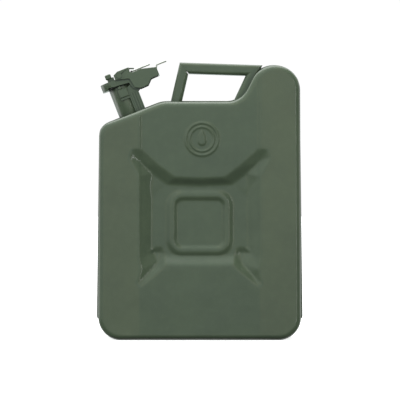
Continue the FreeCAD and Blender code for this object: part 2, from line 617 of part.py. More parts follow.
end_x = REAR_WEB[-1][0] - END_PLATE_SHEET
end_fall = (REAR_WEB[-2][1] - REAR_WEB[-1][1]) / (REAR_WEB[-1][0] - REAR_WEB[-2][0])
upper = REAR_WEB[:-1] + [(end_x, REAR_WEB[-1][1] + END_PLATE_SHEET * end_fall)]
lower = [(r, s - WEB_SHEET) for r, s in reversed(upper)]
save("lever_rear_web", on_neck(plate(from_pin(upper + lower), -cheek_inner_y, cheek_inner_y)))

end_plate = plate(from_pin([(end_x, END_LOW_S), upper[-1], REAR_WEB[-1], (REAR_WEB[-1][0], END_LOW_S)]),
                  -cheek_inner_y, cheek_inner_y)
save("lever_end_plate", on_neck(end_plate))


# ---- safety wire and breather pipe -------------------------------------------------------------------

def bent_rod(corners, radius):
    """A round rod along straight runs and tangent arcs; corners are (point, bend radius)."""
    path = rounded_path(corners, False)
    start = path.Edges[0]
    direction = start.tangentAt(start.FirstParameter)
    ring = Part.Wire([Part.makeCircle(radius, start.valueAt(start.FirstParameter), direction)])
    return path.makePipeShell([ring], True, True)


wire_side_y = cheek_outer_y + WIRE_GAP + WIRE_R
wire_route = [(WIRE_ARM_END, WIRE_ARM_Y, SHANK_AT[1]), (SHANK_AT[0], WIRE_ARM_Y, SHANK_AT[1]),
              (SHANK_AT[0], wire_side_y, SHANK_AT[1])]
wire_route += [(r, wire_side_y, s) for r, s in WIRE_SIDE]
wire_path = [(V(LEVER_PIN_AT[0] + r, y, LEVER_PIN_AT[1] + s), WIRE_BEND_R) for r, y, s in wire_route]
save("safety_wire", on_neck(bent_rod(wire_path, WIRE_R)))

pipe_r = NECK_SHIFT + THROAT_R - BREATHER_R - BREATHER_WALL_GAP
pipe_top = neck_point(pipe_r, BREATHER_TOP_S)
pipe_turn = neck_point(pipe_r, BREATHER_DROP_S)
pocket_x = HALF_WIDTH_HIGH - POCKET_R
pipe_rise_x = pocket_x - 1.4 * POCKET_R
pipe_places = [pipe_top, pipe_turn, (pipe_rise_x, DECK_HEIGHT - BREATHER_UNDER_DECK),
               (pocket_x, BODY_HEIGHT - BREATHER_POCKET_BELOW)]
pipe_path = [(V(x, 0, z), BREATHER_BEND_R) for x, z in pipe_places]
breather = bent_rod(pipe_path, BREATHER_R).cut(bent_rod(pipe_path, BREATHER_R - BREATHER_WALL))
save("breather_tube", breather)

clip_low_s = (BREATHER_TOP_S - CLIP_LENGTH) / 2
clip = Part.makeCylinder(BREATHER_R + CLIP_WALL, CLIP_LENGTH, V(pipe_r, 0, clip_low_s))
clip = clip.cut(Part.makeCylinder(BREATHER_R, CLIP_LENGTH, V(pipe_r, 0, clip_low_s)))
save("breather_clip", on_neck(clip.common(disc(THROAT_R, 0.0, throat_top_s))))
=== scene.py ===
import math

import bmesh
import bpy
import numpy as np
from mathutils import Matrix, Vector
from mathutils.geometry import convex_hull_2d, delaunay_2d_cdt


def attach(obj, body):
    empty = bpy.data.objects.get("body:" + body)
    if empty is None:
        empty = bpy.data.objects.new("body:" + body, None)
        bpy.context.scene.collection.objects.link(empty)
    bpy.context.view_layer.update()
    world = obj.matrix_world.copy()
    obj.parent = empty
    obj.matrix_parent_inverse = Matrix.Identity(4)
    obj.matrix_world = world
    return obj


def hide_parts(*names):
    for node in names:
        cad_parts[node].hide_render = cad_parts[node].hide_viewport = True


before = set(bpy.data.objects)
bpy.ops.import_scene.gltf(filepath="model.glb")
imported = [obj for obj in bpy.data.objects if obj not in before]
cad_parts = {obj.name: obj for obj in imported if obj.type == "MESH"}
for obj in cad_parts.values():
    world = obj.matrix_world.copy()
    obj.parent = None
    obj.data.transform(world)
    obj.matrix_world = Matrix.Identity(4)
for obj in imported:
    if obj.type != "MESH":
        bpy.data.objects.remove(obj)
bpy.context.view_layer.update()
MM = 0.001


# ---- camera ------------------------------------------------------------------------------------

def add_camera(place, aim, field_width, distance):
    """A camera whose view is field_width wide at the given distance."""
    data = bpy.data.cameras.new("camera")
    data.sensor_width = 36.0
    data.lens = 36.0 * distance / field_width
    data.clip_end = 50.0
    camera = bpy.data.objects.new("camera", data)
    camera.location = place
    camera.rotation_euler = (Vector(aim) - Vector(place)).to_track_quat("-Z", "Y").to_euler()
    bpy.context.scene.collection.objects.link(camera)
    bpy.context.scene.camera = camera


VIEW_DISTANCE = 4.0
VIEW_WIDTH = 0.534
VIEW_AT = (0.0004, 0.1876)
FRONT_Y = -0.0675
add_camera((VIEW_AT[0], FRONT_Y - VIEW_DISTANCE, VIEW_AT[1]), (VIEW_AT[0], 0.0, VIEW_AT[1]), VIEW_WIDTH,
           VIEW_DISTANCE)


# ---- material helpers ----------------------------------------------------------------------------

class Nodes:
    """A small wrapper for building the node tree of a material or the world."""

    def __init__(self, owner):
        self.owner = owner
        owner.use_nodes = True
        self.tree = owner.node_tree
        self.tree.nodes.clear()

    def add(self, kind, settings=None, **inputs):
        node = self.tree.nodes.new(kind)
        for key, value in (settings or {}).items():
            setattr(node, key, value)
        for key, value in inputs.items():
            self.put(node.inputs[key.replace("_", " ")], value)
        return node

    def put(self, socket, value):
        if isinstance(value, bpy.types.NodeSocket):
            self.tree.links.new(value, socket)
        else:
            socket.default_value = value

    def place(self):
        return self.add("ShaderNodeTexCoord").outputs["Object"]

    def noise(self, scale, detail=2.0, stretch=(1.0, 1.0, 1.0), rough=0.5):
        mapping = self.add("ShaderNodeMapping", Vector=self.place(), Scale=stretch)
        node = self.add("ShaderNodeTexNoise", Vector=mapping.outputs[0], Scale=scale, Detail=detail,
                        Roughness=rough)
        return node.outputs["Fac"]

    def ramp(self, value, low, high, out_low=0.0, out_high=1.0, kind="LINEAR"):
        node = self.add("ShaderNodeMapRange", {"interpolation_type": kind}, Value=value)
        node.inputs["From Min"].default_value = low
        node.inputs["From Max"].default_value = high
        node.inputs["To Min"].default_value = out_low
        node.inputs["To Max"].default_value = out_high
        return node.outputs["Result"]

    def mix(self, share, first, second):
        node = self.add("ShaderNodeMix", {"data_type": "RGBA"})
        self.put(node.inputs["Factor"], share)
        self.put(node.inputs["A"], first)
        self.put(node.inputs["B"], second)
        return node.outputs["Result"]

    def hollow(self, reach, inside=False):
        """0 in the open, 1 deep in a corner; with inside set, 1 at the object's own outer edges."""
        settings = {"samples": 6, "inside": inside, "only_local": inside}
        node = self.add("ShaderNodeAmbientOcclusion", settings)
        node.inputs["Distance"].default_value = reach
        return self.ramp(node.outputs["AO"], 1.0, 0.35)

    def math(self, operation, first, second=0.0):
        node = self.add("ShaderNodeMath", {"operation": operation})
        self.put(node.inputs[0], first)
        self.put(node.inputs[1], second)
        return node.outputs[0]

    def bump(self, height, distance, strength=1.0, normal=None):
        node = self.add("ShaderNodeBump", Height=height, Strength=strength, Distance=distance)
        if normal is not None:
            self.put(node.inputs["Normal"], normal)
        return node.outputs["Normal"]

    def surface(self, **inputs):
        shader = self.add("ShaderNodeBsdfPrincipled")
        for key, value in inputs.items():
            self.put(shader.inputs[key.replace("_", " ")], value)
        output = self.add("ShaderNodeOutputMaterial")
        self.tree.links.new(shader.outputs[0], output.inputs["Surface"])
        return self.owner


def rgb(red, green, blue):
    return (red, green, blue, 1.0)


def paint_material(name, base, dark, light, rough=0.42):
    """Stoved olive paint on sheet steel: mottling, orange peel, scuffs, pale edges (partly wear, partly
    painted highlight) and painted shade in crevices.
    """
    n = Nodes(bpy.data.materials.new(name))
    broad = n.noise(14.0, 3.0)
    fine = n.noise(90.0, 4.0)
    colour = n.mix(n.ramp(broad, 0.35, 0.65), base, dark)
    colour = n.mix(n.ramp(fine, 0.45, 0.75, 0.0, 0.25), colour, light)
    scuff = n.ramp(n.noise(240.0, 5.0, (1.0, 1.0, 0.15), 0.6), 0.68, 0.8, 0.0, 0.3)
    patch = n.ramp(n.noise(20.0, 2.0), 0.55, 0.7)
    scuff = n.math("MULTIPLY", scuff, patch)
    colour = n.mix(scuff, colour, light)
    # Pale edges: partly wear, partly a painted highlight along convex edges, broken up by the fine noise.
    edge = n.ramp(n.hollow(0.0012, True), 0.55, 0.95, 0.0, 0.5)
    colour = n.mix(n.math("MULTIPLY", edge, n.ramp(fine, 0.35, 0.6, 0.3, 1.0)), colour, light)
    # Painted shade: the colour darkens in crevices and between parts, by ambient occlusion within 9 mm.
    painted_crevice_shade = rgb(dark[0] * 0.3, dark[1] * 0.3, dark[2] * 0.3)
    colour = n.mix(n.ramp(n.hollow(0.009), 0.1, 0.9, 0.0, 0.75), colour, painted_crevice_shade)
    roughness = n.ramp(fine, 0.3, 0.7, rough - 0.03, rough + 0.05)
    normal = n.bump(n.noise(420.0, 2.0), 0.00003)
    normal = n.bump(n.noise(26.0, 1.0), 0.0004, 1.0, normal)
    return n.surface(Base_Color=colour, Roughness=roughness, Normal=normal, Coat_Weight=0.9,
                     Coat_Roughness=0.11, Coat_Normal=normal)


def metal_material(name, base, rough):
    """Zinc-plated steel with drawn lines and dull spots."""
    n = Nodes(bpy.data.materials.new(name))
    spots = n.noise(160.0, 4.0)
    lines = n.noise(500.0, 2.0, (0.15, 1.0, 1.0))
    dull = rgb(base[0] * 0.72, base[1] * 0.72, base[2] * 0.70)
    colour = n.mix(n.ramp(spots, 0.35, 0.7), base, dull)
    roughness = n.ramp(spots, 0.3, 0.7, rough - 0.06, rough + 0.12)
    return n.surface(Base_Color=colour, Metallic=0.9, Roughness=roughness, Normal=n.bump(lines, 0.00008))


def rubber_material(name):
    """Black sealing rubber with fine mottling."""
    n = Nodes(bpy.data.materials.new(name))
    spots = n.noise(220.0, 4.0)
    colour = n.mix(n.ramp(spots, 0.35, 0.7), rgb(0.018, 0.018, 0.019), rgb(0.035, 0.034, 0.033))
    return n.surface(Base_Color=colour, Roughness=n.ramp(spots, 0.3, 0.7, 0.62, 0.8),
                     Normal=n.bump(n.noise(900.0, 3.0), 0.0001))


olive = paint_material("olive_paint", rgb(0.100, 0.140, 0.084), rgb(0.088, 0.124, 0.077),
                       rgb(0.130, 0.172, 0.110))
zinc = metal_material("zinc_plate", rgb(0.93, 0.93, 0.91), 0.22)
rubber = rubber_material("seal_rubber")


# ---- outline of the body, as in the CAD: corners joined by tangent arcs -------------------------

BODY_HEIGHT = 367.8
BODY_DEPTH = 135.0
HALF_LOW = 135.8
HALF_HIGH = 134.2
DECK = 319.0
FACE_EDGE_R = 7.0
GROOVE_HALF = 4.0
GROOVE_DEPTH = 2.5
FLANGE_LOW = 4.2               # how far the flange stands out of the side wall near the base
FLANGE_HIGH = 1.2              # near the top of the side wall
FLANGE_TOP = 3.0               # along the deck and the shoulder
FLANGE_BASE = -0.8             # under the base it stays inside the groove
FLANGE_ENDS = (24.0, 29.0)     # heights between which it comes out of the groove
FLANGE_SHEET = 1.0
BASE_R = 31.0
CROWN_R = 33.5                 # round top of the air pocket
FLANK_FOOT_R = 30.6            # where the air pocket's flank meets the deck
KNEE_R = 40.0                  # between deck and shoulder
SHOULDER_R = 20.0              # between shoulder and side
KNEE_X = -50.3
SHOULDER = math.radians(21.4)
FLANK = math.radians(63.4)


def body_corners():
    """Corners (x, z, radius) of the body seen from the front, anticlockwise from the lower left."""
    lean = math.atan2(HALF_LOW - HALF_HIGH, BODY_HEIGHT)
    pocket_x = HALF_HIGH - CROWN_R * math.tan((math.pi / 2 - lean) / 2)
    crown_left = pocket_x - CROWN_R * math.tan(FLANK / 2)
    foot = crown_left - (BODY_HEIGHT - DECK) / math.tan(FLANK)
    # where the shoulder meets the leaning side: each step starts from the side's place at the last height
    side_z = DECK
    for _ in range(6):
        side_x = HALF_LOW + (HALF_HIGH - HALF_LOW) * side_z / BODY_HEIGHT
        side_z = DECK - (KNEE_X + side_x) * math.tan(SHOULDER)
    return [(-HALF_LOW, 0.0, BASE_R), (HALF_LOW, 0.0, BASE_R), (HALF_HIGH, BODY_HEIGHT, CROWN_R),
            (crown_left, BODY_HEIGHT, CROWN_R), (foot, DECK, FLANK_FOOT_R), (KNEE_X, DECK, KNEE_R),
            (-side_x, side_z, SHOULDER_R)]


def outline(corners, step):
    """Points (x, z) and outward normals along straight runs and tangent arcs, anticlockwise."""
    arcs = []
    for index, (x, z, radius) in enumerate(corners):
        here = Vector((x, z))
        before = here - Vector(corners[index - 1][:2])
        after = Vector(corners[(index + 1) % len(corners)][:2]) - here
        before.normalize()
        after.normalize()
        turn = before.angle_signed(after)
        reach = radius * math.tan(abs(turn) / 2)
        arcs.append((here - before * reach, here + after * reach, before, after, radius))
    points, normals = [], []
    for index, (start, end, before, after, radius) in enumerate(arcs):
        sign = 1.0 if before.x * after.y - before.y * after.x > 0 else -1.0
        first = Vector((before.y, -before.x))
        last = Vector((after.y, -after.x))
        sweep = math.acos(max(-1.0, min(1.0, first.dot(last))))
        centre = start - first * radius * sign
        count = max(6, int(radius * sweep / step))
        for k in range(count):
            angle = sign * sweep * k / count
            normal = Vector((first.x * math.cos(angle) - first.y * math.sin(angle),
                             first.x * math.sin(angle) + first.y * math.cos(angle)))
            points.append(centre + normal * radius * sign)
            normals.append(normal)
        following = arcs[(index + 1) % len(arcs)][0]
        run = following - end
        count = max(1, int(run.length / step)) if run.length > 0.01 else 0
        for k in range(count):
            points.append(end + run * (k / count))
            normals.append(last)
    return np.array(points), np.array(normals)


# ---- pressed relief of the faces, as depth below the face in millimetres ------------------------

PRESS_CENTRE = 157.0
PRESS_FLOOR = 7.0
CREASE_X = 80.0                # the crease between the middle panel and a side strip
STRIP_TILT = math.radians(2.6)
PANEL_DEPTH = 1.1
PANEL_FADE = (92.0, 150.0)     # heights between which the panel's step grows to its full depth
BEAD_HALF = 36.6               # square bead: half its width on its ridge
BEAD_CORNER_R = 14.0
BEAD_HEIGHT = 2.1
MARK_X = 3.0
MARK_Z = 269.0
MARK_RINGS = ((21.6, 2.0), (16.2, 1.7))    # radius and half width
MARK_HEIGHT = 0.9
MARK_AREA_R = 27.0             # the face's grid is twice as fine inside this radius

# Corner points of the pressing on the left half: (x, z, depth). The right half is its mirror image.
PRESS_POINTS = {
    "top": (0.0, 215.5, 0.0), "panel_low": (-33.0, 217.0, 0.0), "panel_mid": (-51.0, 230.5, 0.0),
    "panel_high": (-78.6, 255.5, 0.0), "end_high": (-90.0, 255.0, 0.0), "end_tip": (-94.0, 244.0, 0.0),
    "end_low": (-86.0, 230.0, 0.0), "valley_out": (-79.0, 238.5, 4.2), "valley_mid": (-62.5, 223.5, 6.2),
    "valley_in": (-44.0, 209.5, 7.0), "top_foot": (0.0, 207.5, 7.0), "slope_top": (-80.0, 220.0, 0.0),
    "slope_a": (-73.0, 210.3, 3.6), "slope_b": (-66.3, 201.0, 6.4), "slope_c": (-64.2, 190.0, 7.0),
    "slope_foot": (-65.0, 124.0, 7.0), "nose_left": (-70.5, 115.5, 4.5), "slope_base": (-80.0, 108.0, 0.0),
    "nose_top_a": (-60.0, 124.0, 7.0), "nose_top_b": (-50.0, 124.0, 7.0), "nose_right": (-46.5, 113.5, 7.0),
    "nose_in_a": (-62.0, 117.5, 8.8), "nose_in_b": (-53.5, 117.5, 8.8), "nose_in_c": (-56.0, 103.0, 6.6),
    "trough": (-67.5, 90.0, 3.4), "base_foot": (-44.5, 113.0, 7.0), "base_mid_foot": (0.0, 113.0, 7.0),
    "base_rim": (-46.0, 101.5, 0.0), "base_mid_rim": (0.0, 101.0, 0.0), "wall_low": (-53.5, 93.5, 0.0),
    "tip": (-81.0, 70.5, 0.0), "tip_left": (-83.5, 76.0, 0.0), "wall_left": (-77.5, 96.0, 0.0),
}
PRESS_RIM = ["top", "panel_low", "panel_mid", "panel_high", "end_high", "end_tip", "end_low", "slope_top",
             "slope_base", "wall_left", "tip_left", "tip", "wall_low", "base_rim", "base_mid_rim"]
PRESS_LINES = [
    ["valley_out", "valley_mid", "valley_in", "top_foot"],
    ["slope_top", "slope_a", "slope_b", "slope_c", "slope_foot", "nose_left"],
    ["end_tip", "valley_out"],
    ["nose_left", "nose_top_a", "nose_top_b", "nose_right"],
    ["nose_left", "nose_in_a", "nose_in_b", "nose_in_c", "trough", "tip"],
    ["nose_right", "base_foot", "base_mid_foot"],
    ["nose_left", "wall_left"],
]
GRID_X = 142                   # the grid of depths reaches from -GRID_X to GRID_X and from 0 to GRID_Z
GRID_Z = 372


def press_field():
    """Depth of the low-facet pressing on a 1 mm grid, by straight interpolation over its facets."""
    points, depths, names = [], [], {}
    for side in (1, -1):
        for name, (x, z, depth) in PRESS_POINTS.items():
            if side < 0 and x == 0.0:
                names[(name, side)] = names[(name, 1)]
                continue
            names[(name, side)] = len(points)
            points.append(Vector((x * side, z)))
            depths.append(depth)
    edges = []
    for side in (1, -1):
        for line in [PRESS_RIM] + PRESS_LINES:
            ids = [names[(name, side)] for name in line]
            edges += list(zip(ids[:-1], ids[1:]))
    rim = [names[(name, 1)] for name in PRESS_RIM]
    rim += [names[(name, -1)] for name in reversed(PRESS_RIM[1:-1])]
    result = delaunay_2d_cdt(points, edges, [rim[::-1]], 1, 1e-5)
    places, _, faces, origins = result[0], result[1], result[2], result[3]
    known = [depths[source[0]] if source else 0.0 for source in origins]
    field = np.zeros((GRID_Z + 1, 2 * GRID_X + 1))
    zs, xs = np.mgrid[0:GRID_Z + 1, -GRID_X:GRID_X + 1].astype(float)
    for face in faces:
        a, b, c = (np.array(places[i]) for i in face)
        area = (b[0] - a[0]) * (c[1] - a[1]) - (c[0] - a[0]) * (b[1] - a[1])
        if abs(area) < 1e-9:
            continue
        u = ((xs - a[0]) * (c[1] - a[1]) - (c[0] - a[0]) * (zs - a[1])) / area
        v = ((b[0] - a[0]) * (zs - a[1]) - (xs - a[0]) * (b[1] - a[1])) / area
        inside = (u >= -1e-9) & (v >= -1e-9) & (u + v <= 1 + 1e-9)
        value = known[face[0]] * (1 - u - v) + known[face[1]] * u + known[face[2]] * v
        field[inside] = value[inside]
    return xs, zs, field


def blurred(field, sigma):
    """A grid smoothed by a bell curve, sigma in grid steps."""
    reach = int(3 * sigma + 1)
    kernel = np.exp(-0.5 * (np.arange(-reach, reach + 1) / sigma) ** 2)
    kernel /= kernel.sum()
    padded = np.pad(field, reach, mode="edge")
    padded = np.apply_along_axis(lambda row: np.convolve(row, kernel, mode="valid"), 1, padded)
    return np.apply_along_axis(lambda row: np.convolve(row, kernel, mode="valid"), 0, padded)


def smooth(value, low, high):
    """0 below low, 1 above high, and a soft step between them."""
    t = np.clip((value - low) / (high - low), 0.0, 1.0)
    return t * t * (3 - 2 * t)


def square_distance(xs, zs, half, corner, centre_z):
    """Signed distance to a rounded square."""
    qx = np.abs(xs) - half + corner
    qz = np.abs(zs - centre_z) - half + corner
    outside = np.hypot(np.maximum(qx, 0), np.maximum(qz, 0))
    return outside + np.minimum(np.maximum(qx, qz), 0) - corner


def relief():
    """Depth of the whole pressed face on the grid: panel, strips, pressing, bead and mark."""
    xs, zs, field = press_field()
    field = blurred(field, 1.3)
    # the middle panel lies a little lower than the side strips, which fall away to the can's sides
    panel = smooth(-np.abs(xs), -CREASE_X - 1.2, -CREASE_X + 2.8) * smooth(zs, *PANEL_FADE)
    strips = np.maximum(np.abs(xs) - CREASE_X, 0.0) * math.tan(STRIP_TILT)
    base = PANEL_DEPTH * panel * np.clip(1.0 - field / PRESS_FLOOR, 0.0, 1.0) + strips
    # raised square bead round the middle
    middle = square_distance(xs, zs, BEAD_HALF, BEAD_CORNER_R, PRESS_CENTRE)
    bead = BEAD_HEIGHT * (1.0 - smooth(middle, 2.4, 8.6)) * (1.0 - smooth(-middle, 2.8, 5.8))
    depth = base + field - blurred(bead, 0.8)
    # round mark with a drop
    mark_x, mark_z = xs - MARK_X, zs - MARK_Z
    radius = np.hypot(mark_x, mark_z)
    ring = np.maximum(*(1.0 - np.abs(radius - at) / half for at, half in MARK_RINGS))
    width = 5.6 * np.sqrt(np.clip((11.5 - mark_z) / 13.0, 0.0, 1.0))
    body = np.minimum(width - np.abs(mark_x), mark_z + 3.0)
    drop = np.clip(np.maximum(5.8 - np.hypot(mark_x, mark_z + 3.2), body) / 1.2, 0.0, 1.0)
    mark = np.maximum(np.clip(ring * 1.6, 0.0, 1.0), drop)
    return depth - MARK_HEIGHT * blurred(mark, 0.6)


DEPTH = relief()


def depth_at(x, z):
    """Depth of the relief at places in millimetres, by bilinear sampling."""
    gx = np.clip(np.asarray(x) + GRID_X, 0, 2 * GRID_X - 1e-6)
    gz = np.clip(np.asarray(z), 0, GRID_Z - 1e-6)
    ix, iz = gx.astype(int), gz.astype(int)
    fx, fz = gx - ix, gz - iz
    return (DEPTH[iz, ix] * (1 - fx) * (1 - fz) + DEPTH[iz, ix + 1] * fx * (1 - fz)
            + DEPTH[iz + 1, ix] * (1 - fx) * fz + DEPTH[iz + 1, ix + 1] * fx * fz)


# ---- the two halves ----------------------------------------------------------------------------

WALL_ROWS = 7
EDGE_ROWS = 9
OUTLINE_STEP = 3.0
SHEET = 1.0


def flange_reach(points, normals):
    """How far the seam's flange stands out of the side wall at each place of the outline."""
    share = np.clip(points[:, 1] / BODY_HEIGHT, 0, 1)
    side = FLANGE_LOW + (FLANGE_HIGH - FLANGE_LOW) * share
    upward = smooth(normals[:, 1], 0.1, 0.5)
    reach = side * (1 - upward) + FLANGE_TOP * upward
    ends = smooth(points[:, 1], *FLANGE_ENDS)
    return FLANGE_BASE + (reach - FLANGE_BASE) * ends


def wall_rings(points, normals):
    """Rings of places (x, y, z) from the seam out over the flange and the side wall to the face's edge."""
    rings = []

    def ring(offset, y):
        offset = np.broadcast_to(offset, len(points))
        spots = points + normals * offset[:, None]
        rings.append(np.column_stack([spots[:, 0], np.full(len(points), y), spots[:, 1]]))

    flange = flange_reach(points, normals)
    face_y = BODY_DEPTH / 2
    wall_y = GROOVE_HALF + 0.8
    ring(-GROOVE_DEPTH, 0.0)
    ring(flange, 0.0)
    ring(flange, FLANGE_SHEET)
    ring(-GROOVE_DEPTH + 0.5, FLANGE_SHEET)
    ring(-GROOVE_DEPTH, FLANGE_SHEET + 0.5)
    ring(-GROOVE_DEPTH, GROOVE_HALF - 0.8)
    ring(-GROOVE_DEPTH + 0.3, GROOVE_HALF - 0.2)
    ring(-0.7, GROOVE_HALF)
    ring(-0.2, GROOVE_HALF + 0.2)
    ring(0.0, wall_y)
    for k in range(1, WALL_ROWS + 1):
        ring(0.0, wall_y + (face_y - FACE_EDGE_R - wall_y) * k / WALL_ROWS)
    for k in range(1, EDGE_ROWS + 1):
        angle = math.pi / 2 * k / EDGE_ROWS
        ring(FACE_EDGE_R * (math.cos(angle) - 1), face_y - FACE_EDGE_R * (1 - math.sin(angle)))
        rings[-1][:, 1] -= depth_at(rings[-1][:, 0], rings[-1][:, 2]) * math.sin(angle)
    return rings


def face_mesh(edge, spacing, first):
    """Triangles over the face inside its edge: new places (x, z), and faces that number the edge from first
    and the new places after it."""
    count = len(edge)
    coarse, fine = staggered(spacing), staggered(spacing / 2)
    near = [np.hypot(spots[:, 0] - MARK_X, spots[:, 1] - MARK_Z) < MARK_AREA_R for spots in (coarse, fine)]
    spots = np.vstack([coarse[~near[0]], fine[near[1]]])
    spots = spots[inside_polygon(spots, edge) & (nearest(spots, edge) > spacing * 0.6)]
    flat = [Vector(p) for p in edge] + [Vector(p) for p in spots]
    loop = [(k, (k + 1) % count) for k in range(count)]
    result = delaunay_2d_cdt(flat, loop, [list(range(count))], 1, 1e-6)
    index, grid = [], []
    for place, source in zip(result[0], result[3]):
        on_edge = [k for k in source if k < count]
        if on_edge:
            index.append(first + on_edge[0])
        else:
            index.append(first + count + len(grid))
            grid.append((place.x, place.y))
    return np.array(grid), [tuple(index[i] for i in face) for face in result[2]]


def shell_mesh(name, side, step, spacing):
    """One half of the body, side -1 in front and +1 behind, as an open sheet with its seam flange."""
    points, normals = outline(body_corners(), step)
    count = len(points)
    rings = wall_rings(points, normals)
    grid, face_triangles = face_mesh(rings[-1][:, [0, 2]], spacing, (len(rings) - 1) * count)
    grid_x, grid_z = grid.T
    verts = np.vstack(rings + [np.column_stack([grid_x, BODY_DEPTH / 2 - depth_at(grid_x, grid_z), grid_z])])
    faces = []
    for r in range(len(rings) - 1):
        low, high = r * count, (r + 1) * count
        for k in range(count):
            following = (k + 1) % count
            faces.append((low + k, high + k, high + following, low + following))
    faces += face_triangles
    verts[:, 1] *= side
    mesh = bpy.data.meshes.new(name)
    mesh.from_pydata((verts * MM).tolist(), [], faces)
    piece = bpy.data.objects.new(name, mesh)
    bpy.context.scene.collection.objects.link(piece)
    bm = bmesh.new()
    bm.from_mesh(mesh)
    bmesh.ops.recalc_face_normals(bm, faces=bm.faces)
    middle = min(bm.faces, key=lambda f: (f.calc_center_median() - Vector((0, side * 0.06, 0.157))).length)
    if middle.normal.y * side < 0:
        bmesh.ops.reverse_faces(bm, faces=bm.faces)
    bm.to_mesh(mesh)
    bm.free()
    for polygon in mesh.polygons:
        polygon.use_smooth = True
    return piece


def staggered(spacing):
    """A triangular grid of places over the whole face."""
    xs, zs = np.meshgrid(np.arange(-GRID_X, GRID_X, spacing), np.arange(0, GRID_Z, spacing))
    xs = xs + (np.arange(xs.shape[0]) % 2)[:, None] * spacing / 2
    return np.column_stack([xs.ravel(), zs.ravel()])


def inside_polygon(spots, edge):
    """Which spots lie inside a closed polygon, by counting crossings."""
    inside = np.zeros(len(spots), bool)
    x, z = spots[:, 0], spots[:, 1]
    for (x0, z0), (x1, z1) in zip(edge, np.roll(edge, -1, axis=0)):
        if z0 == z1:
            continue
        crosses = (z0 > z) != (z1 > z)
        inside ^= crosses & (x < (x1 - x0) * (z - z0) / (z1 - z0) + x0)
    return inside


def nearest(spots, edge):
    """Distance of each spot to a closed polygon."""
    best = np.full(len(spots), 1e9)
    for start, end in zip(edge, np.roll(edge, -1, axis=0)):
        run = end - start
        share = np.clip(((spots - start) @ run) / (run @ run), 0.0, 1.0)
        away = spots - start - share[:, None] * run
        best = np.minimum(best, np.hypot(away[:, 0], away[:, 1]))
    return best


NECK_RUN = 43.07               # from the knee down the shoulder to the neck's frame
NECK_AXIS = -1.7               # the neck's axis in that frame
NECK_HOLE_R = 16.9


def neck_place(r, s):
    """A place on the tilted neck: r across it and s along it, in millimetres."""
    foot = Vector((KNEE_X - NECK_RUN * math.cos(SHOULDER), 0.0, DECK - NECK_RUN * math.sin(SHOULDER)))
    return foot + Vector((r * math.cos(SHOULDER) - s * math.sin(SHOULDER), 0.0,
                          r * math.sin(SHOULDER) + s * math.cos(SHOULDER)))


def cutter(name, radius, low, high):
    """A cylinder along the neck's axis, between two places along it."""
    bm = bmesh.new()
    bmesh.ops.create_cone(bm, cap_ends=True, segments=64, radius1=radius, radius2=radius, depth=high - low)
    mesh = bpy.data.meshes.new(name)
    bm.to_mesh(mesh)
    bm.free()
    mesh.transform(Matrix.Translation((0, 0, (low + high) / 2)))
    mesh.transform(Matrix.Rotation(-SHOULDER, 4, "Y"))
    mesh.transform(Matrix.Translation(neck_place(NECK_AXIS, 0.0)))
    mesh.transform(Matrix.Scale(MM, 4))
    tool = bpy.data.objects.new(name, mesh)
    bpy.context.scene.collection.objects.link(tool)
    return tool


def applied(piece):
    """Replaces a piece's mesh by what its modifiers make of it."""
    graph = bpy.context.evaluated_depsgraph_get()
    made = bpy.data.meshes.new_from_object(piece.evaluated_get(graph))
    piece.modifiers.clear()
    piece.data = made
    return piece


neck_hole = cutter("neck_hole", NECK_HOLE_R, -18.0, 14.0)
HALVES = (("body_front", -1, 1.6, "front_shell"), ("body_rear", 1, 2.5, "rear_shell"))
for name, side, spacing, node in HALVES:
    half = shell_mesh(name, side, OUTLINE_STEP, spacing)
    thick = half.modifiers.new("thickness", "SOLIDIFY")
    thick.thickness = SHEET * MM
    thick.offset = -1.0
    hole = half.modifiers.new("hole", "BOOLEAN")
    hole.operation = "DIFFERENCE"
    hole.object = neck_hole
    hole.solver = "FAST"
    applied(half)
    half.data.materials.clear()
    half.data.materials.append(olive)
    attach(half, "can")
    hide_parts(node)
bpy.data.objects.remove(neck_hole)


# ---- CAD nodes: softened edges and materials -------------------------------------------------------

def coat(node, material):
    """Gives a CAD node its material."""
    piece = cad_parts[node]
    piece.data.materials.clear()
    piece.data.materials.append(material)
    return piece


def soften(node, width):
    """Painted steel with slightly rounded edges, width in millimetres."""
    piece = coat(node, olive)
    weld = piece.modifiers.new("weld", "WELD")
    weld.merge_threshold = 0.00001
    bevel = piece.modifiers.new("bevel", "BEVEL")
    bevel.width = width * MM
    bevel.segments = 3
    bevel.limit_method = "ANGLE"
    bevel.angle_limit = math.radians(35)
    bevel.harden_normals = True


SOFT_EDGES = {
    1.3: ("handle_post", "handle_grip", "handle_rear_leg"),
    0.5: ("neck_tube", "lid_cap", "lid_frame", "lever_cheek_front", "lever_cheek_rear"),
    0.4: ("neck_lugs", "hinge_pin", "lid_knob", "lever_yoke", "lever_pin", "lever_front_web",
          "lever_rear_web", "lever_end_plate"),
    0.35: ("neck_bracket_front", "neck_bracket_rear", "neck_spine"),
    0.3: ("locking_studs", "lid_rivet"),
}
for width, nodes in SOFT_EDGES.items():
    for node in nodes:
        soften(node, width)
for node in ("safety_wire", "gasket_retainer", "breather_tube", "breather_clip"):
    coat(node, zinc)
coat("lid_gasket", rubber)


# ---- weld beads where the neck and the handle stand on the body ---------------------------------------

WELD_SIDES = 10


